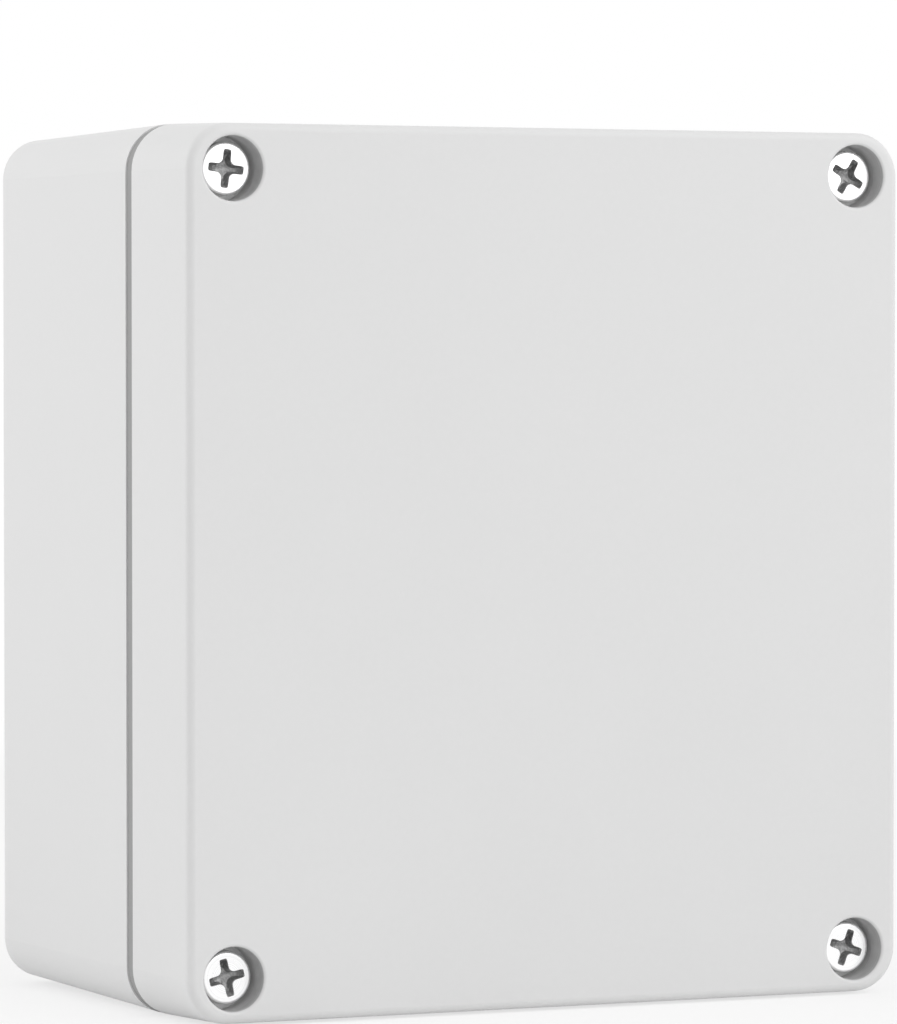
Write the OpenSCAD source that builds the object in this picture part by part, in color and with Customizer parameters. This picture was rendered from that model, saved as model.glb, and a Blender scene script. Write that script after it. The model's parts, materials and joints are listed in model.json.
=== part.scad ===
// Waterproof screw-lid enclosure: a cast base, a deep cast lid, a flat gasket in the seam
// between them and four captive screws sunk in the corners of the lid.
// It stands upright on its lower wall, lid to the front (-Y), wall face to the back (+Y).
// The origin is the middle of the lower wall, half way through the depth.

/* [Enclosure] */
// Width across the joint between base and lid
case_width = 104; // [90:1:160]
// Height across the joint between base and lid
case_height = 115; // [100:1:180]
// Depth of the base casting, from its back to the joint
base_depth = 46; // [30:1:90]
// Depth of the lid casting, from the joint to its front face
lid_depth = 17; // [15:0.5:30]
// Radius of the upright corners at the joint
corner_r = 6.2; // [5.8:0.1:8]
// Draft angle of the outer walls of the base
base_draft = 1.1; // [0.3:0.1:1.5]
// Draft angle of the outer walls of the lid
lid_draft = 1.3; // [0.3:0.1:1.5]
// Radius of the edges round the front of the lid
front_edge_r = 1.1; // [0.5:0.1:1.5]
// Radius of the edges round the back of the base
back_edge_r = 2.6; // [0.5:0.1:3.5]

/* [Walls] */
// Thickness of the side walls at the joint
wall_t = 3.2; // [2.4:0.1:4]
// Thickness of the back wall of the base
back_t = 3.4; // [2.5:0.1:5]
// Thickness of the front wall of the lid
front_t = 3.4; // [2.5:0.1:4.5]
// Draft angle of the inner walls
inner_draft = 0.8; // [0.3:0.1:1.2]
// Radius of the fillet between the inner walls and the back or front wall
inner_edge_r = 2; // [0.5:0.1:2.2]
// How much rounder the inner corners are than a wall of even thickness leaves them
inner_corner_extra = 0.5; // [0.5:0.1:2]

/* [Corner posts] */
// Distance of the screw axes from the side walls at the joint
screw_inset_x = 6.75; // [6.4:0.05:8]
// Distance of the screw axes from the top and bottom walls at the joint
screw_inset_y = 6.1; // [6:0.05:8]
// Radius of the corner posts at the joint
post_r = 6.6; // [6:0.1:8]
// Draft angle of the corner posts
post_draft = 0.5; // [0.2:0.1:1]

/* [Lid screws] */
// Outer diameter of the thread
screw_d = 4; // [3:0.1:4.5]
// Length of the screw below its head
screw_length = 20; // [16:1:24]
// Diameter of the pan head
head_d = 6.8; // [5.6:0.1:7]
// Height of the pan head
head_h = 2.4; // [2:0.1:3]
// Radius of the rounded edge of the pan head
head_edge_r = 0.35; // [0.2:0.05:1]
// Depth of the top of the head below the front face
head_sink = 2.4; // [1:0.1:3]
// Diameter of the round recess that the head sits in
recess_d = 8.3; // [7.2:0.1:8.4]
// Radius of the rounded rim of the recess, where the flat beside it leaves room
recess_edge_r = 0.4; // [0.1:0.05:0.6]
// Thickness of the land that the head clamps
land_t = 6.2; // [4:0.1:8]
// Radial clearance of the screw in the lid
lid_hole_clearance = 0.25; // [0.1:0.05:0.5]
// Radial clearance of the screw in the tapped hole of the base
thread_clearance = 0.15; // [0.1:0.05:0.3]
// Depth of the tapped holes below the joint
thread_depth = 14; // [10:1:20]
// Span of the cross recess in the head
cross_span = 4.9; // [4:0.1:5.2]
// Width of the arms of the cross recess
cross_arm = 1.05; // [0.8:0.05:1.3]
// Depth of the cross recess
cross_depth = 1.6; // [1:0.1:1.8]
// Size of the chamfer at the tip of the screws
tip_chamfer = 0.4; // [0.2:0.1:0.8]

/* [Retaining rings] */
// Outer diameter of the ring that keeps each screw in the lid
ring_d = 6.4; // [5.4:0.1:6.8]
// Thickness of the ring
ring_t = 1.2; // [0.8:0.1:1.6]
// Radial clearance of the ring on the screw
ring_bore_clearance = 0.1; // [0.05:0.05:0.2]
// Radial clearance of the ring in its pocket under the lid
ring_pocket_clearance = 0.4; // [0.2:0.05:0.6]
// Height of the ring above the base when the screw is tight
ring_lift = 0.2; // [0.1:0.1:0.4]

/* [Gasket] */
// Thickness of the gasket, which is the width of the seam
gasket_t = 2; // [1:0.1:3]
// Distance of the edge of the gasket behind the outer walls
gasket_inset = 0.2; // [0.1:0.1:1]

/* [Mounting] */
// Core diameter of the tapped wall-fixing holes in the back
rear_hole_d = 3.3; // [2.5:0.1:4]
// Depth of the wall-fixing holes
rear_hole_depth = 9; // [6:0.5:14]
// Spacing across of the inner bosses for a board or plate
plate_dx = 66; // [50:1:66]
// Spacing up of the inner bosses for a board or plate
plate_dy = 78; // [56:1:80]
// Diameter of the inner bosses at the top
boss_d = 7; // [6:0.1:9]
// Height of the inner bosses above the back wall
boss_h = 8; // [5:0.5:14]
// Diameter of the blind holes in the inner bosses
boss_hole_d = 3.2; // [2:0.1:4]
// Depth of the blind holes in the inner bosses
boss_hole_depth = 6; // [4:0.5:8]
// Draft angle of the inner bosses
boss_draft = 1.5; // [0.5:0.1:2]

/* [Earth terminal] */
// Distance of the earth terminal from the left wall at the joint
earth_inset = 16; // [14:1:30]
// Diameter of the earth boss at the top
earth_boss_d = 10; // [9:0.1:12]
// Height of the earth boss above the back wall
earth_boss_h = 7; // [6:0.5:12]
// Length of the earth screw below its head
earth_screw_length = 7; // [6:0.5:8]
// Outer diameter of the flat washer
washer_d = 9; // [8:0.1:9]
// Thickness of the flat washer
washer_t = 0.8; // [0.5:0.1:1.2]
// Outer diameter of the toothed lock washer
lock_washer_d = 7.8; // [7:0.1:8.5]
// Thickness of the toothed lock washer
lock_washer_t = 0.7; // [0.5:0.1:1]
// Number of teeth round the lock washer
lock_washer_teeth = 12; // [8:1:16]
// Depth of the gaps between the teeth
lock_washer_gap = 0.8; // [0.4:0.1:1.2]
// Radial clearance of the washers on the earth screw
washer_clearance = 0.2; // [0.1:0.05:0.3]

/* [Hidden] */
$fn = 64;
// Extra length of a cut beyond the face that it opens on
over = 1;
// Smallest radius that is drawn, and the step that a limited radius is cut down to
radius_step = 0.05;
case_depth = base_depth + gasket_t + lid_depth;
lid_joint = base_depth + gasket_t;
screw_x = case_width / 2 - screw_inset_x;
screw_y = case_height / 2 - screw_inset_y;
head_top = case_depth - head_sink;
head_seat = head_top - head_h;
pocket_top = head_seat - land_t;
front_flat_inset = front_edge_r + (lid_depth - front_edge_r) * tan(lid_draft);
recess_margin = min(screw_inset_x, screw_inset_y) - front_flat_inset - recess_d / 2;
rim_limit = radius_step * floor(recess_margin / radius_step - 1);
rim_r = max(min(recess_edge_r, rim_limit), radius_step);
pocket_d = ring_d + 2 * ring_pocket_clearance;
ring_foot = base_depth + ring_lift;
screw_tip_r = screw_d / 2 - tip_chamfer;
inner_corner_r = corner_r - wall_t + inner_corner_extra;
earth_x = case_width / 2 - earth_inset;
earth_boss_top = back_t + earth_boss_h;
earth_seat = earth_boss_top + washer_t + lock_washer_t;
// The corners in the order top left, top right, bottom left, bottom right, seen from the front
CORNERS = [[-1, 1], [1, 1], [-1, -1], [1, -1]];
// How far each cross recess is turned, anticlockwise seen from the front
CROSS_TURN = [-6, -30, 13, -19];
cast_grey = "gainsboro";
screw_bright = "whitesmoke";

// Stands a piece up: it is drawn with its back on the ground and its front upward.
module upright() {
    translate([0, case_depth / 2, case_height / 2])
        rotate([90, 0, 0])
            children();
}

// Repeats a piece at the four screw axes.
module at_corners() {
    for (corner = CORNERS)
        translate([corner.x * screw_x, corner.y * screw_y, 0])
            children();
}

// Section of a drafted wall whose round corner is centred on zero: it reaches out to the
// corner radius at the top, leans in toward its rounded foot and runs inward by inner.
module wall_section(corner, rise, draft, edge_r, inner) {
    shoulder = corner - (rise - edge_r) * tan(draft);
    translate([shoulder, 0]) {
        polygon([
            [-shoulder - inner, 0], [-edge_r, 0], [0, edge_r],
            [corner - shoulder, rise], [-shoulder - inner, rise]
        ]);
        translate([-edge_r, edge_r])
            intersection() {
                circle(r = edge_r);
                translate([0, -edge_r])
                    square(edge_r);
            }
    }
}

// Straight bar with a drafted wall on both sides, which lie reach from its middle.
module drafted_bar(reach, length, rise, draft, corner, edge_r) {
    mid = reach - corner;
    rotate([90, 0, 0])
        linear_extrude(length, center = true)
            for (side = [0, 1])
                mirror([side, 0])
                    translate([mid, 0])
                        wall_section(corner, rise, draft, edge_r, mid + over);
}

// Block with round corners, drafted sides and a rounded edge at its foot.
// Width, height and corner radius are those of its top.
module drafted_block(width, height, rise, draft, corner, edge_r) {
    mid_x = width / 2 - corner;
    mid_y = height / 2 - corner;
    drafted_bar(width / 2, 2 * mid_y, rise, draft, corner, edge_r);
    rotate([0, 0, 90])
        drafted_bar(height / 2, 2 * mid_x, rise, draft, corner, edge_r);
    for (side = [0, 1], end = [0, 1])
        mirror([side, 0, 0])
            mirror([0, end, 0])
                translate([mid_x, mid_y, 0])
                    rotate_extrude(angle = 90)
                        intersection() {
                            wall_section(corner, rise, draft, edge_r, over);
                            square([corner + over, rise]);
                        }
}

// Flat plate with round corners.
module round_plate(width, height, thickness, corner) {
    mid_x = width / 2 - corner;
    mid_y = height / 2 - corner;
    translate([-width / 2, -mid_y, 0])
        cube([width, 2 * mid_y, thickness]);
    translate([-mid_x, -height / 2, 0])
        cube([2 * mid_x, height, thickness]);
    for (side = [0, 1], end = [0, 1])
        mirror([side, 0, 0])
            mirror([0, end, 0])
                translate([mid_x, mid_y, 0])
                    rotate_extrude(angle = 90)
                        square([corner, thickness]);
}

// Boss that widens by its draft from its top down to the wall that it grows from.
module boss(top_d, rise, draft) {
    cylinder(h = rise, d1 = top_d + 2 * rise * tan(draft), d2 = top_d);
}

// Hollow of a casting, open at the top: its foot is the inside of the back or front wall.
module hollow(rise) {
    cut = rise + over;
    spread = 2 * over * tan(inner_draft);
    mouth_w = case_width - 2 * wall_t + spread;
    mouth_h = case_height - 2 * wall_t + spread;
    difference() {
        drafted_block(mouth_w, mouth_h, cut, inner_draft, inner_corner_r + spread, inner_edge_r);
        at_corners()
            translate([0, 0, -over])
                cylinder(
                    h = cut + 2 * over,
                    r1 = post_r + (rise + over) * tan(post_draft),
                    r2 = post_r - 2 * over * tan(post_draft)
                );
    }
}

// Inside of the base, with the bosses left standing.
module base_hollow() {
    difference() {
        translate([0, 0, back_t])
            hollow(base_depth - back_t);
        for (side = [-1, 1], end = [-1, 1])
            translate([side * plate_dx / 2, end * plate_dy / 2, back_t - over])
                boss(boss_d, boss_h + over, boss_draft);
        translate([-earth_x, 0, back_t - over])
            boss(earth_boss_d, earth_boss_h + over, boss_draft);
    }
}

// Blind hole below the height z.
module blind_hole(z, diameter, depth) {
    translate([0, 0, z - depth])
        cylinder(h = depth + over, d = diameter);
}

module base_shell() {
    tapped_d = screw_d + 2 * thread_clearance;
    color(cast_grey)
        upright()
            difference() {
                drafted_block(case_width, case_height, base_depth, base_draft, corner_r, back_edge_r);
                base_hollow();
                at_corners()
                    blind_hole(base_depth, tapped_d, thread_depth);
                at_corners()
                    translate([0, 0, -over])
                        cylinder(h = rear_hole_depth + over, d = rear_hole_d);
                for (side = [-1, 1], end = [-1, 1])
                    translate([side * plate_dx / 2, end * plate_dy / 2, 0])
                        blind_hole(back_t + boss_h, boss_hole_d, boss_hole_depth);
                translate([-earth_x, 0, 0])
                    blind_hole(earth_boss_top, tapped_d, earth_boss_h);
            }
}

// Round recess for a screw head, from the head's seat up, with a rounded rim at the front.
module head_recess() {
    rise = head_h + head_sink;
    rim = recess_d / 2 + rim_r;
    rotate_extrude()
        difference() {
            square([rim, rise + over]);
            translate([rim, rise - rim_r])
                circle(r = rim_r);
            translate([recess_d / 2, -over])
                square([rim_r + over, rise - rim_r + over]);
        }
}

module lid_shell() {
    color(cast_grey)
        upright()
            difference() {
                translate([0, 0, case_depth])
                    mirror([0, 0, 1])
                        drafted_block(case_width, case_height, lid_depth, lid_draft, corner_r, front_edge_r);
                translate([0, 0, case_depth - front_t])
                    mirror([0, 0, 1])
                        hollow(lid_depth - front_t);
                at_corners() {
                    translate([0, 0, head_seat])
                        head_recess();
                    translate([0, 0, pocket_top - over])
                        cylinder(h = land_t + 2 * over, r = screw_d / 2 + lid_hole_clearance);
                    translate([0, 0, lid_joint - over])
                        cylinder(h = pocket_top - lid_joint + over, d = pocket_d);
                }
            }
}

module lid_gasket() {
    color("darkgray")
        upright()
            translate([0, 0, base_depth])
                difference() {
                    round_plate(
                        case_width - 2 * gasket_inset,
                        case_height - 2 * gasket_inset,
                        gasket_t,
                        corner_r - gasket_inset
                    );
                    difference() {
                        translate([0, 0, -over])
                            round_plate(
                                case_width - 2 * wall_t,
                                case_height - 2 * wall_t,
                                gasket_t + 2 * over,
                                inner_corner_r
                            );
                        at_corners()
                            translate([0, 0, -2 * over])
                                cylinder(h = gasket_t + 4 * over, r = post_r);
                    }
                    at_corners()
                        translate([0, 0, -over])
                            cylinder(h = gasket_t + 2 * over, d = pocket_d);
                }
}

// Cross recess, sunk below the height zero, with arms that narrow toward the bottom.
module cross_recess() {
    foot_span = cross_span / 2;
    for (turn = [0, 90])
        rotate([90, 0, turn])
            linear_extrude(cross_arm, center = true)
                polygon([
                    [-foot_span / 2, -cross_depth], [foot_span / 2, -cross_depth],
                    [cross_span / 2, 0], [cross_span / 2, over],
                    [-cross_span / 2, over], [-cross_span / 2, 0]
                ]);
}

// Pan-head screw with its seat at the height zero and a plain shank in place of the thread.
module pan_screw(length) {
    difference() {
        union() {
            rotate_extrude() {
                polygon([
                    [0, 0], [head_d / 2, 0], [head_d / 2, head_h - head_edge_r],
                    [head_d / 2 - head_edge_r, head_h], [0, head_h]
                ]);
                translate([head_d / 2 - head_edge_r, head_h - head_edge_r])
                    intersection() {
                        circle(r = head_edge_r);
                        square(head_edge_r);
                    }
            }
            translate([0, 0, tip_chamfer - length])
                cylinder(h = length + head_h / 2 - tip_chamfer, d = screw_d);
            translate([0, 0, -length])
                cylinder(h = tip_chamfer, r1 = screw_tip_r, r2 = screw_d / 2);
        }
        translate([0, 0, head_h])
            cross_recess();
    }
}

// Lid screw number i of CORNERS.
module lid_screw(i) {
    color(screw_bright)
        upright()
            translate([CORNERS[i].x * screw_x, CORNERS[i].y * screw_y, head_seat])
                rotate([0, 0, CROSS_TURN[i]])
                    pan_screw(screw_length);
}

// Flat ring, drawn from the height zero.
module ring(outer_d, bore_r, thickness) {
    difference() {
        cylinder(h = thickness, d = outer_d);
        translate([0, 0, -over])
            cylinder(h = thickness + 2 * over, r = bore_r);
    }
}

// Retaining ring on the shank of screw number i.
module screw_ring(i) {
    color("dimgray")
        upright()
            translate([CORNERS[i].x * screw_x, CORNERS[i].y * screw_y, ring_foot])
                ring(ring_d, screw_d / 2 + ring_bore_clearance, ring_t);
}

module earth_screw() {
    color(screw_bright)
        upright()
            translate([-earth_x, 0, earth_seat])
                pan_screw(earth_screw_length);
}

module earth_washer() {
    color("goldenrod")
        upright()
            translate([-earth_x, 0, earth_boss_top])
                ring(washer_d, screw_d / 2 + washer_clearance, washer_t);
}

module earth_lock_washer() {
    gap_w = PI * lock_washer_d / lock_washer_teeth / 2;
    color("goldenrod")
        upright()
            translate([-earth_x, 0, earth_boss_top + washer_t])
                difference() {
                    ring(lock_washer_d, screw_d / 2 + washer_clearance, lock_washer_t);
                    for (tooth = [1 : lock_washer_teeth])
                        rotate([0, 0, tooth * 360 / lock_washer_teeth])
                            translate([lock_washer_d / 2 - lock_washer_gap, -gap_w / 2, -over])
                                cube([lock_washer_gap + over, gap_w, lock_washer_t + 2 * over]);
                }
}

base_shell();
lid_shell();
lid_gasket();
lid_screw(0);  // lid_screw_tl
lid_screw(1);  // lid_screw_tr
lid_screw(2);  // lid_screw_bl
lid_screw(3);  // lid_screw_br
screw_ring(0);  // screw_ring_tl
screw_ring(1);  // screw_ring_tr
screw_ring(2);  // screw_ring_bl
screw_ring(3);  // screw_ring_br
earth_screw();
earth_washer();
earth_lock_washer();
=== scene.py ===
"""Looks of a waterproof enclosure: finishes, threaded screws, stage and camera.

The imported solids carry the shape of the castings, the gasket, the rings and the washers. This
file gives each of them its finish and makes the screws and the cut threads in full.
"""

import json
import math

import bpy
from bpy.props import FloatProperty, FloatVectorProperty, PointerProperty
from bpy.types import Operator, Panel, PropertyGroup
from mathutils import Matrix, Vector


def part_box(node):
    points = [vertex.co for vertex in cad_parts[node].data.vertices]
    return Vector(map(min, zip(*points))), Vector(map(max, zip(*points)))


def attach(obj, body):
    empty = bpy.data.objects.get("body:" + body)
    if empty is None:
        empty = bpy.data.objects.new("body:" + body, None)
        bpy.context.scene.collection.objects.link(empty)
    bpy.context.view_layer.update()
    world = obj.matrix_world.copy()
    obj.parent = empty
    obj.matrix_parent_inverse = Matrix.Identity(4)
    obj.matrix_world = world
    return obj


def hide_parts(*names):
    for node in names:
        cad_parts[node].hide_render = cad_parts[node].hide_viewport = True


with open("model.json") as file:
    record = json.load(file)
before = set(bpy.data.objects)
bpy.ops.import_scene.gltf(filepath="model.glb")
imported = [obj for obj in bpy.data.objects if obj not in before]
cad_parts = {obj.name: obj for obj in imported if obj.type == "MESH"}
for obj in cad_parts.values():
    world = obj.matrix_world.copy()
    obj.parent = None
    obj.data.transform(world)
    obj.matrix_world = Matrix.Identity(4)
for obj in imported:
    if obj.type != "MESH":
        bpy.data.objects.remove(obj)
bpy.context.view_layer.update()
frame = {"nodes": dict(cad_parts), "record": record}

bl_info = {
    "name": "Waterproof enclosure",
    "version": (1, 0, 0),
    "blender": (4, 5, 0),
    "location": "3D View > Sidebar > Enclosure",
    "description": "Finishes, screws, stage and camera of a waterproof enclosure",
    "category": "Object",
}

MM = 0.001
CORNERS = ("tl", "tr", "bl", "br")
# How far each cross recess is turned, anticlockwise seen from the front, in degrees
CROSS_TURNS = {"tl": -6.0, "tr": -30.0, "bl": 13.0, "br": -19.0}
# How sharp the corners at the ends of a cross recess's arms are
CROSS_CORNER = 9
# Rows of points below the edge of a cross recess: shares of its span, arm and depth
CROSS_ROWS = ((0.86, 0.86, 0.5), (0.52, 0.7, 0.86))
# Rounded lip of a cross recess: its width over both sides, and its depth
LIP_WIDTH = 0.12 * MM
LIP_DEPTH = 0.06 * MM
# Steps of the rounded rim of a screw head, and the edge of the flat inside it as a share
RIM_STEPS = 8
FLAT_SHARE = 0.985
# Small edges of a screw: under its head, at its neck, above its thread and at its tip
HEAD_CHAMFER = 0.08 * MM
NECK_CHAMFER = 0.25 * MM
THREAD_RUNOUT = 0.35 * MM
TIP_CHAMFER = 0.4 * MM
# A screw thread over one pitch: heights as shares of its depth, which is a share of the pitch
THREAD_PROFILE = (0.0, 0.0, 0.45, 0.95, 1.0, 0.95, 0.45, 0.0)
THREAD_DEPTH = 0.61
# Share of the pitch over which a screw thread fades at its ends
THREAD_FADE = 0.8
# Ridge of a cut thread: steps in a turn, half its width as a share of the pitch, its least height
# as a share, and how far its root lies in the wall
RIDGE_STEPS = 32
RIDGE_HALF = 0.36
RIDGE_LEAST = 0.05
RIDGE_ROOT = 0.02 * MM
# Clearance round the lid screws in the posts of the base, and under a screw head
POST_PLAY = 0.15 * MM
SEAT_PLAY = 0.02 * MM
# Materials of a screw, in the order of its slots
PLATE, SLOT, THREAD = range(3)
# Edges that turn by more than this stay sharp
SHARP_ANGLE = math.radians(32.0)
# A screw recess of the lid: how far its faces lie from its axis and behind the front face
RECESS_REACH = 4.6 * MM
RECESS_SKIN = 0.001 * MM
RECESS_DEPTH = 6.0 * MM
# Depths between which the coat on a recess's rim gives way to bare metal
RIM_COAT_END = (0.14 * MM, 0.34 * MM)
# Depths between which painted light brightens the wall of a recess toward the seat, and the painted
# brightness at both
PAINTED_WALL_LIGHT_DEPTHS = (1.0 * MM, 2.8 * MM)
PAINTED_WALL_LIGHT_LEVELS = (0.92, 1.35)
# How much the powder coat varies in colour and in roughness
COAT_SPREADS = (0.03, 0.12)
# Scale of the broad unevenness of every finish, in waves to the metre
BROAD_SCALE = 45.0
# Light panels: name, property with the power, length of a side and place
PANELS = (
    ("left_panel", "left_power", 1.0, (-1.0, 0.65, 0.45)),
    ("front_panel", "front_power", 1.4, (0.62, -0.78, 0.62)),
    ("top_panel", "top_power", 1.2, (-0.1, -0.1, 1.3)),
)
PANEL_AIM = Vector((0.0, 0.0, 0.055))
# Half the floor's side, the distances between which it runs out into white, and its least white
FLOOR_REACH = 4.0
FLOOR_FADE = (0.12, 0.6)
FLOOR_WHITE = 0.7
# Camera of the photo's view
CAMERA_PLACE = Vector((-0.36741, -0.75203, 0.08729))
CAMERA_AIM = Vector((0.0, -0.0003, 0.0575))
CAMERA_SHIFT = (0.00475, 0.04786)


def grey(value):
    """A neutral colour of that linear brightness."""
    return (value, value, value)


def colour_property(name, description, default):
    """A colour that a user can change."""
    return FloatVectorProperty(
        name=name,
        description=description,
        default=default,
        size=3,
        min=0.0,
        max=1.0,
        subtype="COLOR",
    )


def length_property(name, description, default):
    """A length that a user can change, in metres."""
    return FloatProperty(
        name=name,
        description=description,
        default=default,
        min=0.0,
        precision=5,
        subtype="DISTANCE",
        unit="LENGTH",
    )


def share_property(name, description, default):
    """A value from 0 to 1 that a user can change."""
    return FloatProperty(
        name=name, description=description, default=default, min=0.0, max=1.0, subtype="FACTOR"
    )


class EnclosureFinish(PropertyGroup):
    """Colours and surface grain of the finishes."""

    coat: colour_property("Powder coat", "Colour of the coat on both castings", grey(0.745))
    coat_roughness: share_property("Coat roughness", "How matt the powder coat is", 0.46)
    coat_ripple: length_property("Coat ripple", "Size of the ripple in the coat", 0.9 * MM)
    bare: colour_property("Bare metal", "Colour of the metal in recesses and tapped holes", grey(0.56))
    rubber: colour_property("Rubber", "Colour of the gasket", grey(0.34))
    plate: colour_property("Plating", "Colour of the plated screws", grey(0.92))
    # Painted shade: the threads are given a darker colour than the plating of the head
    thread: colour_property("Threads", "Colour of the plating on the screw threads", grey(0.55))
    # Painted shade: the cross recesses are given a darker colour than the plating of the head
    slot: colour_property("Cross recess", "Colour inside the cross recesses", grey(0.38))
    ring: colour_property("Rings", "Colour of the plastic rings", grey(0.035))
    brass: colour_property("Brass", "Colour of the earth washers", (0.72, 0.55, 0.26))


class EnclosureScrews(PropertyGroup):
    """Sizes of the screws and the cut threads."""

    head_height: length_property("Head height", "Height of the pan head", 2.4 * MM)
    rim: length_property("Rim", "Radius of the rounded rim of the head", 0.35 * MM)
    shank: length_property("Shank", "Diameter of the shank and of the thread's crest", 4.0 * MM)
    pitch: length_property("Pitch", "Pitch of the screw thread", 0.7 * MM)
    thread_length: length_property("Thread", "Length of the thread above the tip", 5.6 * MM)
    cross_span: length_property("Cross span", "Span of the cross recess", 4.8 * MM)
    cross_arm: length_property("Cross arm", "Width of an arm of the cross recess", 1.0 * MM)
    cross_fillet: length_property("Cross fillet", "Radius between two arms", 0.75 * MM)
    cross_depth: length_property("Cross depth", "Depth of the cross recess", 1.6 * MM)


class EnclosureStage(PropertyGroup):
    """Light and camera."""

    world_level: FloatProperty(
        name="Room light", description="Level of the even light all round", default=0.645, min=0.0
    )
    left_power: FloatProperty(
        name="Left panel", description="Power of the light on the left", default=4.75, unit="POWER"
    )
    front_power: FloatProperty(
        name="Front panel", description="Power of the light in front", default=5.66, unit="POWER"
    )
    top_power: FloatProperty(
        name="Top panel", description="Power of the light above", default=1.8, unit="POWER"
    )
    lens: FloatProperty(
        name="Lens", description="Focal length of the camera", default=218.99, unit="CAMERA"
    )


# Shader nodes


def add_node(tree, kind, **settings):
    """A new node with the given settings."""
    node = tree.nodes.new(kind)
    for name, value in settings.items():
        setattr(node, name, value)
    return node


def math_node(tree, operation, first, second):
    """A Math node on two inputs, each a socket or a number, and its result."""
    node = add_node(tree, "ShaderNodeMath", operation=operation)
    for socket, value in zip(node.inputs, (first, second)):
        if isinstance(value, bpy.types.NodeSocket):
            tree.links.new(value, socket)
        else:
            socket.default_value = value
    return node.outputs[0]


def new_group(name, inputs, outputs):
    """An empty node group with its sockets, given as (name, kind, default)."""
    group = bpy.data.node_groups.new(name, "ShaderNodeTree")
    for socket_name, kind, default in inputs:
        socket = group.interface.new_socket(socket_name, in_out="INPUT", socket_type=kind)
        socket.default_value = default
    for socket_name, kind in outputs:
        group.interface.new_socket(socket_name, in_out="OUTPUT", socket_type=kind)
    return group, group.nodes.new("NodeGroupInput"), group.nodes.new("NodeGroupOutput")


def ramp(tree, value, start, end, low=0.0, high=1.0):
    """A value that runs smoothly from low to high between two places of another one."""
    node = add_node(tree, "ShaderNodeMapRange", interpolation_type="SMOOTHSTEP")
    for name, number in (("From Min", start), ("From Max", end), ("To Min", low), ("To Max", high)):
        node.inputs[name].default_value = number
    tree.links.new(value, node.inputs["Value"])
    return node.outputs[0]


def scaled(tree, colour, factor):
    """A colour made brighter or darker by a factor that changes over the surface."""
    node = add_node(tree, "ShaderNodeVectorMath", operation="SCALE")
    tree.links.new(colour, node.inputs[0])
    tree.links.new(factor, node.inputs["Scale"])
    return node.outputs[0]


def mixed(tree, factor, first, second):
    """Two colours mixed by a factor that changes over the surface."""
    node = add_node(tree, "ShaderNodeMix", data_type="RGBA")
    inputs = {socket.identifier: socket for socket in node.inputs}
    for name, value in (("Factor_Float", factor), ("A_Color", first), ("B_Color", second)):
        tree.links.new(value, inputs[name])
    return next(socket for socket in node.outputs if socket.identifier == "Result_Color")


def mixed_shaders(tree, share, first, second):
    """Two shaders mixed by the share of the second one."""
    node = add_node(tree, "ShaderNodeMixShader")
    for socket, value in zip(node.inputs, (share, first, second)):
        tree.links.new(value, socket)
    return node.outputs[0]


def grain_group():
    """Fine grain of a surface: colour and roughness that vary a little, and its height."""
    if "Fine grain" in bpy.data.node_groups:
        return bpy.data.node_groups["Fine grain"]
    group, given, result = new_group(
        "Fine grain",
        (
            ("Colour", "NodeSocketColor", (0.8, 0.8, 0.8, 1.0)),
            ("Size", "NodeSocketFloat", 0.001),
            ("Colour spread", "NodeSocketFloat", 0.02),
            ("Roughness", "NodeSocketFloat", 0.5),
            ("Roughness spread", "NodeSocketFloat", 0.1),
        ),
        (
            ("Colour", "NodeSocketColor"),
            ("Roughness", "NodeSocketFloat"),
            ("Height", "NodeSocketFloat"),
        ),
    )
    links = group.links
    place = add_node(group, "ShaderNodeTexCoord")
    fine = add_node(group, "ShaderNodeTexNoise", noise_dimensions="3D")
    fine.inputs["Detail"].default_value = 3.0
    fine.inputs["Roughness"].default_value = 0.55
    links.new(place.outputs["Object"], fine.inputs["Vector"])
    links.new(math_node(group, "DIVIDE", 1.0, given.outputs["Size"]), fine.inputs["Scale"])
    broad = add_node(group, "ShaderNodeTexNoise", noise_dimensions="3D")
    broad.inputs["Detail"].default_value = 2.0
    broad.inputs["Scale"].default_value = BROAD_SCALE
    links.new(place.outputs["Object"], broad.inputs["Vector"])
    fine_swing = math_node(group, "SUBTRACT", fine.outputs[0], 0.5)
    broad_swing = math_node(group, "SUBTRACT", broad.outputs[0], 0.5)
    swing = math_node(group, "ADD", fine_swing, broad_swing)
    share = math_node(group, "MULTIPLY", swing, given.outputs["Colour spread"])
    tint = scaled(group, given.outputs["Colour"], math_node(group, "ADD", share, 1.0))
    links.new(tint, result.inputs["Colour"])
    rough_share = math_node(group, "MULTIPLY", swing, given.outputs["Roughness spread"])
    rough = math_node(group, "ADD", rough_share, given.outputs["Roughness"])
    links.new(rough, result.inputs["Roughness"])
    links.new(fine.outputs[0], result.inputs["Height"])
    return group


def turned_group():
    """Tool marks left by turning: rings that change along one coordinate."""
    if "Turned marks" in bpy.data.node_groups:
        return bpy.data.node_groups["Turned marks"]
    group, given, result = new_group(
        "Turned marks",
        (("Coordinate", "NodeSocketFloat", 0.0), ("Spacing", "NodeSocketFloat", 0.0002)),
        (("Height", "NodeSocketFloat"), ("Shade", "NodeSocketFloat")),
    )
    links = group.links
    marks = add_node(group, "ShaderNodeTexNoise", noise_dimensions="1D")
    marks.inputs["Scale"].default_value = 1.0
    marks.inputs["Detail"].default_value = 4.0
    along = math_node(group, "DIVIDE", given.outputs["Coordinate"], given.outputs["Spacing"])
    links.new(along, marks.inputs["W"])
    links.new(marks.outputs[0], result.inputs["Height"])
    # The shade runs from 0.75 to 1.25
    shade = math_node(group, "MULTIPLY", marks.outputs[0], 0.5)
    links.new(math_node(group, "ADD", shade, 0.75), result.inputs["Shade"])
    return group


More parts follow.
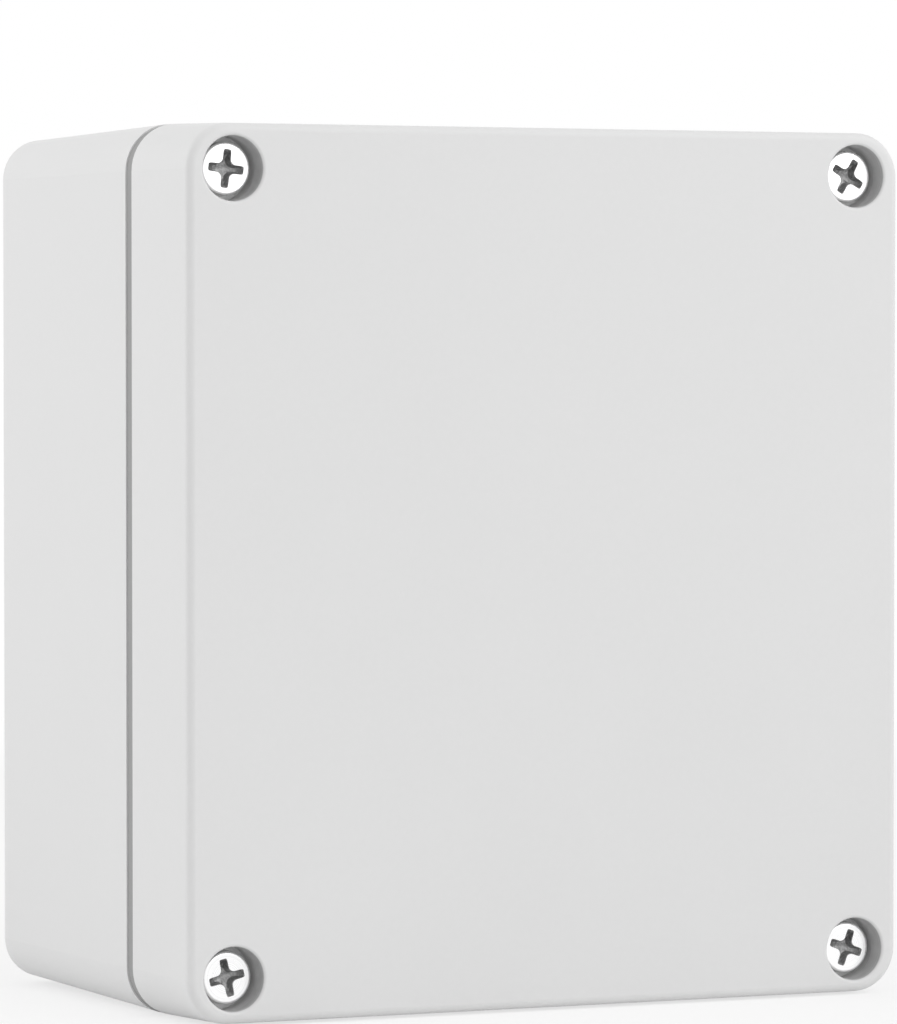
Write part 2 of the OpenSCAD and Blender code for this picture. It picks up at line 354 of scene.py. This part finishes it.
def new_material(name, **sockets):
    """A material with one Principled shader, whose plain values are set on its sockets."""
    material = bpy.data.materials.new(name)
    material.use_nodes = True
    tree = material.node_tree
    tree.nodes.clear()
    output = add_node(tree, "ShaderNodeOutputMaterial")
    shader = add_node(tree, "ShaderNodeBsdfPrincipled")
    tree.links.new(shader.outputs[0], output.inputs["Surface"])
    for socket, value in sockets.items():
        shader.inputs[socket.replace("_", " ").title()].default_value = value
    return material, tree, shader


def grain_node(tree, colour, size, colour_spread, roughness, roughness_spread):
    """Places the fine-grain group with its own values."""
    node = add_node(tree, "ShaderNodeGroup", node_tree=grain_group())
    node.inputs["Colour"].default_value = (*colour, 1.0)
    node.inputs["Size"].default_value = size
    node.inputs["Colour spread"].default_value = colour_spread
    node.inputs["Roughness"].default_value = roughness
    node.inputs["Roughness spread"].default_value = roughness_spread
    return node


def link_bump(tree, shader, height, distance):
    """Feeds a height into the shader's normal."""
    bump = add_node(tree, "ShaderNodeBump")
    bump.inputs["Strength"].default_value = 1.0
    bump.inputs["Distance"].default_value = distance
    tree.links.new(height, bump.inputs["Height"])
    tree.links.new(bump.outputs[0], shader.inputs["Normal"])


def grained_material(name, colour, size, spreads, roughness, depth, **sockets):
    """A finish with fine grain in its colour, roughness and height."""
    material, tree, shader = new_material(name, **sockets)
    grain = grain_node(tree, colour, size, spreads[0], roughness, spreads[1])
    tree.links.new(grain.outputs["Colour"], shader.inputs["Base Color"])
    tree.links.new(grain.outputs["Roughness"], shader.inputs["Roughness"])
    link_bump(tree, shader, grain.outputs["Height"], depth)
    return material


def object_axes(tree):
    """The X, Y and Z of the object's own coordinates."""
    place = add_node(tree, "ShaderNodeTexCoord")
    split = add_node(tree, "ShaderNodeSeparateXYZ")
    tree.links.new(place.outputs["Object"], split.inputs[0])
    return split.outputs


def tool_marks(tree, colour, coordinate, spacing):
    """Draws tool marks over a colour. Returns the marked colour and the marks' height."""
    marks = add_node(tree, "ShaderNodeGroup", node_tree=turned_group())
    marks.inputs["Spacing"].default_value = spacing
    tree.links.new(coordinate, marks.inputs["Coordinate"])
    return scaled(tree, colour, marks.outputs["Shade"]), marks.outputs["Height"]


def turned_material(name, colour, roughness, spacing, depth):
    """A metal turned round the third axis: grain in its roughness, and rings of tool marks."""
    material, tree, shader = new_material(name, metallic=1.0)
    grain = grain_node(
        tree, colour, 0.4 * MM, colour_spread=0.1, roughness=roughness, roughness_spread=0.12
    )
    axes = object_axes(tree)
    across = math_node(tree, "MULTIPLY", axes["X"], axes["X"])
    up = math_node(tree, "MULTIPLY", axes["Y"], axes["Y"])
    radius = math_node(tree, "SQRT", math_node(tree, "ADD", across, up), 0.0)
    marked, height = tool_marks(tree, grain.outputs["Colour"], radius, spacing)
    tree.links.new(marked, shader.inputs["Base Color"])
    tree.links.new(grain.outputs["Roughness"], shader.inputs["Roughness"])
    link_bump(tree, shader, height, depth)
    return material


# Meshes


def middle(box):
    """The middle of a box given by its lowest and highest corners."""
    return (box[0] + box[1]) / 2


def cover(node, material):
    """Gives a CAD node one material."""
    mesh = frame["nodes"][node].data
    mesh.materials.clear()
    mesh.materials.append(material)


def new_piece(name, verts, faces, materials, face_material, place, body):
    """A mesh piece that rides on a body, with the given materials on its faces."""
    mesh = bpy.data.meshes.new(name)
    mesh.from_pydata(verts, [], faces)
    for material in materials:
        mesh.materials.append(material)
    mesh.polygons.foreach_set("material_index", face_material)
    mesh.validate()
    mesh.shade_smooth()
    mesh.set_sharp_from_angle(angle=SHARP_ANGLE)
    piece = bpy.data.objects.new(name, mesh)
    bpy.context.scene.collection.objects.link(piece)
    piece.matrix_world = place
    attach(piece, body)
    return piece


def axis_place(x, y, z, way=-1):
    """A frame on a hole's axis: its third axis points to the front, or to the back for way 1."""
    turn = Matrix(((1, 0, 0), (0, 0, way), (0, -way, 0))).to_4x4()
    return Matrix.Translation((x, y, z)) @ turn


def mount_spots(name):
    """The four holes of a bolt pattern of the record: (corner, place), and their radius."""
    mount = next(m for m in frame["record"]["mounts"] if m["name"] == name)
    across, up = (mount["dims"]["spacing_%s_mm" % a] * MM / 2 for a in "xy")
    spots = []
    for corner in CORNERS:
        side = across if "r" in corner else -across
        end = up if "t" in corner else -up
        spots.append((corner, Vector(mount["pos_m"]) + Vector((side, 0.0, end))))
    return spots, mount["dims"]["hole_r_mm"] * MM


def post_spots():
    """The mouths of the four lid screw holes, on the joint face of the base."""
    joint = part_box("base_shell")[0].y
    axes = ((corner, middle(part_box("lid_screw_" + corner))) for corner in CORNERS)
    return [(corner, Vector((axis.x, joint, axis.z))) for corner, axis in axes]


class RingStack:
    """A closed mesh made of rings of points, one above the other, round one axis."""

    def __init__(self, angles):
        self.angles = angles
        self.verts, self.faces, self.face_material = [], [], []

    def ring(self, radius, height):
        """Adds a ring. The radius is a number or a list with one for each angle."""
        first = len(self.verts)
        radii = radius if isinstance(radius, list) else [radius] * len(self.angles)
        for angle, r in zip(self.angles, radii):
            self.verts.append((r * math.cos(angle), r * math.sin(angle), height))
        return list(range(first, len(self.verts)))

    def join(self, lower, upper, material=PLATE):
        """Faces between two rings, the lower one first, with their normals outward."""
        count = len(lower)
        for i in range(count):
            j = (i + 1) % count
            self.faces.append((lower[i], lower[j], upper[j], upper[i]))
            self.face_material.append(material)

    def cap(self, ring, height, up, material=PLATE):
        """Closes a ring with a fan to a point on the axis."""
        centre = len(self.verts)
        self.verts.append((0.0, 0.0, height))
        count = len(ring)
        for i in range(count):
            a, b = ring[i], ring[(i + 1) % count]
            self.faces.append((a, b, centre) if up else (b, a, centre))
            self.face_material.append(material)

    def stack(self, rings, material=PLATE):
        """Adds and joins rings given as (radius, height), and returns the first and last."""
        made = [self.ring(radius, height) for radius, height in rings]
        for lower, upper in zip(made, made[1:]):
            self.join(lower, upper, material)
        return made[0], made[-1]


def cross_radius(angle, span, arm, fillet):
    """Distance from the axis to the edge of a cross recess at an angle from one of its arms."""
    quarter = math.pi / 2
    turn = angle % quarter
    turn = min(turn, quarter - turn)
    reach, half = span / 2, arm / 2
    centre = half + fillet
    if turn <= math.atan2(half, centre):
        end, side = math.cos(turn) / reach, math.sin(turn) / half
        return (end**CROSS_CORNER + side**CROSS_CORNER) ** (-1 / CROSS_CORNER)
    along = centre * (math.cos(turn) + math.sin(turn))
    return along - math.sqrt(max(along * along - 2 * centre * centre + fillet * fillet, 0.0))


def cross_angles(span, arm, fillet):
    """Angles round the axis that follow the corners of a cross recess."""
    reach, half = span / 2, arm / 2
    corner = math.atan2(half, reach)
    neck = math.atan2(half, half + fillet)
    stops = (
        [corner * i / 4 for i in range(5)]
        + [corner + (neck - corner) * i / 6 for i in range(1, 7)]
        + [neck + (math.pi / 4 - neck) * i / 6 for i in range(1, 7)]
    )
    eighth = stops[:-1]
    back = [math.pi / 2 - s for s in reversed(stops[1:])]
    quarter = eighth + back
    return [i * math.pi / 2 + s for i in range(4) for s in quarter]


def thread_rows(stack, bottom, top, core, crest, pitch):
    """Rings of a screw thread from bottom to top, that follow its helix and fade at the ends."""
    steps = len(THREAD_PROFILE)
    angles = stack.angles
    count = len(angles)
    rows = int(round((top - bottom) / pitch)) * steps
    grid = []
    for row in range(-steps, rows + 1):
        line = []
        for i in range(count + 1):
            turn = angles[i % count] + (2 * math.pi if i == count else 0.0)
            height = bottom + pitch * (row / steps + turn / (2 * math.pi))
            held = min(max(height, bottom), top)
            room = min(held - bottom, top - held)
            fade = min(max(room / (THREAD_FADE * pitch), 0.0), 1.0)
            radius = core + (crest - core) * fade * THREAD_PROFILE[row % steps]
            line.append((radius, turn, held))
        grid.append(line)
    known = {}

    def point(radius, turn, height):
        """The number of a point, which is made only once."""
        turn = turn % (2 * math.pi)
        key = (round(radius * 1e8), round(turn * 1e6), round(height * 1e8))
        if key not in known:
            known[key] = len(stack.verts)
            stack.verts.append((radius * math.cos(turn), radius * math.sin(turn), height))
        return known[key]

    for low, high in zip(grid, grid[1:]):
        for i in range(count):
            corners = [point(*low[i]), point(*low[i + 1]), point(*high[i + 1]), point(*high[i])]
            face = [c for k, c in enumerate(corners) if c != corners[k - 1]]
            if len(set(face)) >= 3:
                stack.faces.append(tuple(dict.fromkeys(face)))
                stack.face_material.append(THREAD)
    return [[point(core, a, end) for a in angles] for end in (bottom, top)]


def screw_mesh(sizes, head_diameter, length):
    """A pan-head screw on the third axis, with its seat at zero."""
    span, arm, fillet = sizes.cross_span, sizes.cross_arm, sizes.cross_fillet
    angles = cross_angles(span, arm, fillet)
    stack = RingStack(angles)
    head, shank, rim = head_diameter / 2, sizes.shank / 2, sizes.rim
    top = sizes.head_height
    core = shank - THREAD_DEPTH * sizes.pitch
    thread_top = -length + TIP_CHAMFER + sizes.thread_length
    low_end, high_end = thread_rows(
        stack, -length + TIP_CHAMFER, thread_top, core, shank, sizes.pitch
    )
    tip = stack.ring(core - TIP_CHAMFER, -length)
    stack.join(tip, low_end, THREAD)
    stack.cap(tip, -length, False, THREAD)
    neck, seat = stack.stack(
        [
            (shank, thread_top + THREAD_RUNOUT),
            (shank, -NECK_CHAMFER),
            (shank + NECK_CHAMFER, SEAT_PLAY),
        ]
    )
    stack.join(high_end, neck)
    under = stack.ring(head - HEAD_CHAMFER, SEAT_PLAY)
    stack.join(seat, under)
    rounds = [
        (head - rim + rim * math.cos(a), top - rim + rim * math.sin(a))
        for a in (math.pi / 2 * i / RIM_STEPS for i in range(RIM_STEPS + 1))
    ]
    foot, shoulder = stack.stack([(head, HEAD_CHAMFER)] + rounds)
    stack.join(under, foot)

    def cross(scale_span, scale_arm, grow=0.0):
        """Radii of the recess's edge, shrunk toward the axis."""
        return [
            cross_radius(a, span * scale_span + grow, arm * scale_arm + grow, fillet) for a in angles
        ]

    flat = stack.ring((head - rim) * FLAT_SHARE, top)
    stack.join(shoulder, flat)
    lip = stack.ring(cross(1.0, 1.0, LIP_WIDTH), top)
    stack.join(flat, lip)
    edge = stack.ring(cross(1.0, 1.0), top - LIP_DEPTH)
    stack.join(lip, edge, SLOT)
    for span_share, arm_share, depth_share in CROSS_ROWS:
        row = stack.ring(cross(span_share, arm_share), top - depth_share * sizes.cross_depth)
        stack.join(edge, row, SLOT)
        edge = row
    stack.cap(edge, top - sizes.cross_depth, True, SLOT)
    return stack


def place_screw(node, body, sizes, materials, turn=0.0):
    """Makes the screw that stands for a CAD node, with its recess turned by so many degrees."""
    low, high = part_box(node)
    spot = middle((low, high))
    seat = low.y + sizes.head_height
    stack = screw_mesh(sizes, high.x - low.x, high.y - seat)
    place = axis_place(spot.x, seat, spot.z) @ Matrix.Rotation(math.radians(turn), 4, "Z")
    piece = new_piece(
        node + "_full", stack.verts, stack.faces, materials, stack.face_material, place, body
    )
    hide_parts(node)


def thread_bead(radius, crest, pitch, length):
    """A cut thread's ridge: a three-sided bead along a helix, closed at both ends."""
    turns = length / pitch
    steps = int(turns * RIDGE_STEPS)
    fade_steps = RIDGE_STEPS / 2
    verts, faces = [], []
    for i in range(steps + 1):
        angle = 2 * math.pi * turns * i / steps
        height = length * (i / steps - 1)
        fade = min(1.0, i / fade_steps, (steps - i) / fade_steps)
        inner = radius - (radius - crest) * max(fade, RIDGE_LEAST)
        for r, h in ((radius, RIDGE_HALF * pitch), (inner, 0.0), (radius, -RIDGE_HALF * pitch)):
            verts.append((r * math.cos(angle), r * math.sin(angle), height + h))
    for i in range(steps):
        a, b = 3 * i, 3 * i + 3
        for k in range(3):
            n = (k + 1) % 3
            faces.append((a + n, a + k, b + k, b + n))
    last = 3 * steps
    faces.append((0, 1, 2))
    faces.append((last + 2, last + 1, last))
    return verts, faces


# Operators


class ENCLOSURE_OT_castings(Operator):
    """Coat both castings and leave their screw recesses and tapped holes bare"""

    bl_idname = "enclosure.castings"
    bl_label = "Castings"

    def execute(self, context):
        finish = context.scene.enclosure_finish
        coat = grained_material(
            "powder_coat",
            finish.coat,
            size=finish.coat_ripple,
            spreads=COAT_SPREADS,
            roughness=finish.coat_roughness,
            depth=0.006 * MM,
        )
        cover("base_shell", coat)
        cover("lid_shell", coat)
        lid = frame["nodes"]["lid_shell"].data
        lid.materials.append(self.recess_material(finish))
        self.bare_recesses(lid)
        base = frame["nodes"]["base_shell"].data
        base.materials.append(self.bore_material(finish))
        self.bare_bores(base, context.scene.enclosure_screws)
        return {"FINISHED"}

    @staticmethod
    def bore_material(finish):
        """Drilled metal in the tapped holes, with the marks of the drill along their depth."""
        material, tree, shader = new_material("bare_bore", metallic=0.8)
        bare = grain_node(
            tree, finish.bare, 0.3 * MM, colour_spread=0.15, roughness=0.42, roughness_spread=0.12
        )
        depth = object_axes(tree)["Y"]
        marked, height = tool_marks(tree, bare.outputs["Colour"], depth, spacing=0.2 * MM)
        tree.links.new(marked, shader.inputs["Base Color"])
        tree.links.new(bare.outputs["Roughness"], shader.inputs["Roughness"])
        link_bump(tree, shader, height, 0.01 * MM)
        return material

    @staticmethod
    def bare_bores(mesh, sizes):
        """Gives the faces inside the tapped holes of the base the second material."""
        bosses, boss_bore = mount_spots("plate_bosses")
        holes, hole_bore = mount_spots("wall_holes")
        bores = [(spot, sizes.shank / 2 + POST_PLAY, 1) for _, spot in post_spots()]
        bores += [(spot, boss_bore, 1) for _, spot in bosses]
        bores += [(spot, hole_bore, -1) for _, spot in holes]
        play, skin, reach = 0.1 * MM, 0.01 * MM, 15.0 * MM
        for face in mesh.polygons:
            spot = face.center
            face.material_index = int(
                any(
                    math.hypot(spot.x - mouth.x, spot.z - mouth.z) < bore + play
                    and skin < way * (spot.y - mouth.y) < reach
                    for mouth, bore, way in bores
                )
            )

    @staticmethod
    def recess_material(finish):
        """Turned metal in a screw recess, with painted light that brightens it toward the seat, and
        coat on its rim.
        """
        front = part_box("lid_shell")[0].y
        material, tree, shader = new_material("bare_recess")
        bare = grain_node(
            tree, finish.bare, 0.4 * MM, colour_spread=0.1, roughness=0.42, roughness_spread=0.12
        )
        coat = grain_node(
            tree,
            finish.coat,
            finish.coat_ripple,
            colour_spread=COAT_SPREADS[0],
            roughness=finish.coat_roughness,
            roughness_spread=COAT_SPREADS[1],
        )
        depth = object_axes(tree)["Y"]
        marked, height = tool_marks(tree, bare.outputs["Colour"], depth, spacing=0.22 * MM)
        # Painted light: the wall's colour brightens with depth to lift the shade deep in the recess
        painted_fill = ramp(tree, depth, *(front + d for d in PAINTED_WALL_LIGHT_DEPTHS), *PAINTED_WALL_LIGHT_LEVELS)
        cut = ramp(tree, depth, *(front + d for d in RIM_COAT_END))
        colour = mixed(tree, cut, coat.outputs["Colour"], scaled(tree, marked, painted_fill))
        tree.links.new(colour, shader.inputs["Base Color"])
        tree.links.new(bare.outputs["Roughness"], shader.inputs["Roughness"])
        metal = math_node(tree, "MULTIPLY", cut, 0.35)
        tree.links.new(metal, shader.inputs["Metallic"])
        link_bump(tree, shader, height, 0.004 * MM)
        return material

    @staticmethod
    def bare_recesses(mesh):
        """Gives the faces inside the screw recesses the second material."""
        axes = [middle(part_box("lid_screw_" + corner)) for corner in CORNERS]
        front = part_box("lid_shell")[0].y
        for face in mesh.polygons:
            spot = face.center
            inside = any(math.hypot(spot.x - a.x, spot.z - a.z) < RECESS_REACH for a in axes)
            behind = RECESS_SKIN < spot.y - front < RECESS_DEPTH
            face.material_index = int(inside and behind)


class ENCLOSURE_OT_gasket(Operator):
    """Give the gasket its rubber"""

    bl_idname = "enclosure.gasket"
    bl_label = "Gasket"

    def execute(self, context):
        finish = context.scene.enclosure_finish
        rubber = grained_material(
            "gasket_rubber",
            finish.rubber,
            size=0.25 * MM,
            spreads=(0.12, 0.1),
            roughness=0.8,
            depth=0.02 * MM,
        )
        cover("lid_gasket", rubber)
        return {"FINISHED"}


class ENCLOSURE_OT_lid_screws(Operator):
    """Make the four lid screws"""

    bl_idname = "enclosure.lid_screws"
    bl_label = "Lid screws"

    def execute(self, context):
        finish = context.scene.enclosure_finish
        sizes = context.scene.enclosure_screws
        plate = turned_material(
            "bright_plate", finish.plate, roughness=0.3, spacing=0.12 * MM, depth=0.0015 * MM
        )
        # Painted shade: the cross recess is darker than the head's plating, and its strong colour
        # speckle is painted glints
        slot = grained_material(
            "cross_recess",
            finish.slot,
            size=0.35 * MM,
            spreads=(2.2, 0.3),
            roughness=0.36,
            depth=0.04 * MM,
            metallic=0.5,
        )
        # Painted shade: the threads get a darker plating colour than the head, for the shade in their
        # valleys
        thread = turned_material(
            "thread_plate", finish.thread, roughness=0.36, spacing=0.2 * MM, depth=0.004 * MM
        )
        materials = (plate, slot, thread)
        for corner in CORNERS:
            node, body = "lid_screw_" + corner, "screw_" + corner
            place_screw(node, body, sizes, materials, CROSS_TURNS[corner])
        return {"FINISHED"}


class ENCLOSURE_OT_screw_rings(Operator):
    """Give the retaining rings their dark plastic"""

    bl_idname = "enclosure.screw_rings"
    bl_label = "Retaining rings"

    def execute(self, context):
        finish = context.scene.enclosure_finish
        plastic = grained_material(
            "ring_plastic",
            finish.ring,
            size=0.2 * MM,
            spreads=(0.2, 0.15),
            roughness=0.55,
            depth=0.006 * MM,
        )
        for corner in CORNERS:
            cover("screw_ring_" + corner, plastic)
        return {"FINISHED"}


class ENCLOSURE_OT_earth_terminal(Operator):
    """Make the earth screw and give its washers their brass"""

    bl_idname = "enclosure.earth_terminal"
    bl_label = "Earth terminal"

    def execute(self, context):
        finish = context.scene.enclosure_finish
        sizes = context.scene.enclosure_screws
        plate = turned_material(
            "earth_plate", finish.plate, roughness=0.34, spacing=0.12 * MM, depth=0.0015 * MM
        )
        slot = bpy.data.materials["cross_recess"]
        thread = bpy.data.materials["thread_plate"]
        place_screw("earth_screw", "base", sizes, (plate, slot, thread))
        brass = grained_material(
            "washer_brass",
            finish.brass,
            size=0.25 * MM,
            spreads=(0.2, 0.2),
            roughness=0.32,
            depth=0.002 * MM,
            metallic=1.0,
        )
        cover("earth_washer", brass)
        cover("earth_lock_washer", brass)
        return {"FINISHED"}


class ENCLOSURE_OT_cut_threads(Operator):
    """Cut the threads of the corner posts, the plate bosses and the wall holes"""

    bl_idname = "enclosure.cut_threads"
    bl_label = "Cut threads"

    def execute(self, context):
        finish = context.scene.enclosure_finish
        sizes = context.scene.enclosure_screws
        cut = grained_material(
            "cut_thread",
            finish.bare,
            size=0.3 * MM,
            spreads=(0.2, 0.15),
            roughness=0.4,
            depth=0.003 * MM,
            metallic=0.8,
        )
        bosses, boss_bore = mount_spots("plate_bosses")
        holes, hole_bore = mount_spots("wall_holes")
        post_bore = sizes.shank / 2 + POST_PLAY
        # Name, mouths, bore, height as a share of the pitch, pitch, length, and way to the mouth
        rows = (
            ("post_thread_", post_spots(), post_bore, 0.16, sizes.pitch, 12.6 * MM, -1),
            ("boss_thread_", bosses, boss_bore, 0.16, 0.5 * MM, 5.0 * MM, -1),
            ("wall_thread_", holes, hole_bore, 0.06, sizes.pitch, 7.7 * MM, 1),
        )
        for prefix, spots, bore, share, pitch, length, way in rows:
            verts, faces = thread_bead(bore + RIDGE_ROOT, bore - share * pitch, pitch, length)
            face_material = [0] * len(faces)
            for corner, mouth in spots:
                name = prefix + corner
                place = axis_place(mouth.x, mouth.y - way * 0.5 * pitch, mouth.z, way)
                new_piece(name, verts, faces, (cut,), face_material, place, "base")
        return {"FINISHED"}


class ENCLOSURE_OT_stage(Operator):
    """Set the floor, the light and the camera"""

    bl_idname = "enclosure.stage"
    bl_label = "Stage"

    def execute(self, context):
        stage = context.scene.enclosure_stage
        context.scene.view_settings.view_transform = "Standard"
        self.add_world(context.scene, stage.world_level)
        self.add_floor()
        for name, power, size, spot in PANELS:
            lamp = bpy.data.lights.new(name, "AREA")
            lamp.energy = getattr(stage, power)
            lamp.size = size
            panel = self.aimed(context.scene, lamp, spot, PANEL_AIM)
            panel.visible_camera = False
        self.add_camera(context.scene, stage.lens)
        return {"FINISHED"}

    @staticmethod
    def aimed(scene, data, spot, aim):
        """Puts a lamp or camera in its place and turns it to a point."""
        thing = bpy.data.objects.new(data.name, data)
        thing.location = spot
        thing.rotation_euler = (aim - thing.location).to_track_quat("-Z", "Y").to_euler()
        scene.collection.objects.link(thing)
        return thing

    @staticmethod
    def seen(tree):
        """One where the camera, a reflection or glass looks straight at this surface."""
        path = add_node(tree, "ShaderNodeLightPath")
        mirror = math_node(
            tree, "MAXIMUM", path.outputs["Is Glossy Ray"], path.outputs["Is Transmission Ray"]
        )
        return math_node(tree, "MAXIMUM", path.outputs["Is Camera Ray"], mirror)

    def add_world(self, scene, level):
        """Even light all round, seen as white."""
        world = bpy.data.worlds.new("room")
        scene.world = world
        world.use_nodes = True
        tree = world.node_tree
        tree.nodes.clear()
        output = add_node(tree, "ShaderNodeOutputWorld")
        light = add_node(tree, "ShaderNodeBackground")
        light.inputs["Color"].default_value = (1.0, 1.0, 1.0, 1.0)
        light.inputs["Strength"].default_value = level
        white = add_node(tree, "ShaderNodeBackground")
        white.inputs["Color"].default_value = (1.0, 1.0, 1.0, 1.0)
        both = mixed_shaders(tree, self.seen(tree), light.outputs[0], white.outputs[0])
        tree.links.new(both, output.inputs["Surface"])

    def add_floor(self):
        """A pale floor that runs out into white away from the object."""
        mesh = bpy.data.meshes.new("floor")
        ends = ((-1, -1), (1, -1), (1, 1), (-1, 1))
        corners = [(x * FLOOR_REACH, y * FLOOR_REACH, 0.0) for x, y in ends]
        mesh.from_pydata(corners, [], [(0, 1, 2, 3)])
        floor = bpy.data.objects.new("floor", mesh)
        bpy.context.scene.collection.objects.link(floor)
        material, tree, shader = new_material(
            "floor_white", base_color=(*grey(0.9), 1.0), roughness=0.9
        )
        shader.inputs["Specular IOR Level"].default_value = 0.0
        white = add_node(tree, "ShaderNodeEmission")
        place = add_node(tree, "ShaderNodeTexCoord")
        away = add_node(tree, "ShaderNodeVectorMath", operation="LENGTH")
        tree.links.new(place.outputs["Object"], away.inputs[0])
        fade = ramp(tree, away.outputs["Value"], *FLOOR_FADE)
        pale = math_node(tree, "MAXIMUM", fade, FLOOR_WHITE)
        share = math_node(tree, "MULTIPLY", pale, self.seen(tree))
        both = mixed_shaders(tree, share, shader.outputs[0], white.outputs[0])
        output = next(n for n in tree.nodes if n.type == "OUTPUT_MATERIAL")
        tree.links.new(both, output.inputs["Surface"])
        mesh.materials.append(material)

    def add_camera(self, scene, lens):
        """A long lens to the left of the front, a little above the middle."""
        camera = bpy.data.cameras.new("camera")
        camera.lens = lens
        camera.sensor_width = 36.0
        camera.shift_x, camera.shift_y = CAMERA_SHIFT
        camera.clip_start, camera.clip_end = 0.05, 20.0
        scene.camera = self.aimed(scene, camera, CAMERA_PLACE, CAMERA_AIM)


class ENCLOSURE_PT_panel(Panel):
    """The steps that build the enclosure's looks"""

    bl_idname = "ENCLOSURE_PT_panel"
    bl_label = "Waterproof enclosure"
    bl_space_type = "VIEW_3D"
    bl_region_type = "UI"
    bl_category = "Enclosure"

    def draw(self, context):
        for step in STEPS:
            self.layout.operator(step.bl_idname)
        for group in ("enclosure_finish", "enclosure_screws", "enclosure_stage"):
            values = getattr(context.scene, group)
            for name in values.__annotations__:
                self.layout.prop(values, name)


STEPS = (
    ENCLOSURE_OT_castings,
    ENCLOSURE_OT_gasket,
    ENCLOSURE_OT_lid_screws,
    ENCLOSURE_OT_screw_rings,
    ENCLOSURE_OT_earth_terminal,
    ENCLOSURE_OT_cut_threads,
    ENCLOSURE_OT_stage,
)
GROUPS = {
    "enclosure_finish": EnclosureFinish,
    "enclosure_screws": EnclosureScrews,
    "enclosure_stage": EnclosureStage,
}


def register():
    for group in GROUPS.values():
        bpy.utils.register_class(group)
    for step in STEPS:
        bpy.utils.register_class(step)
    bpy.utils.register_class(ENCLOSURE_PT_panel)
    for name, group in GROUPS.items():
        setattr(bpy.types.Scene, name, PointerProperty(type=group))


def unregister():
    for name in GROUPS:
        delattr(bpy.types.Scene, name)
    bpy.utils.unregister_class(ENCLOSURE_PT_panel)
    for kind in reversed(STEPS + tuple(GROUPS.values())):
        bpy.utils.unregister_class(kind)


def main():
    register()
    for step in STEPS:
        family, name = step.bl_idname.split(".")
        getattr(getattr(bpy.ops, family), name)()


if __name__ == "__main__":
    main()
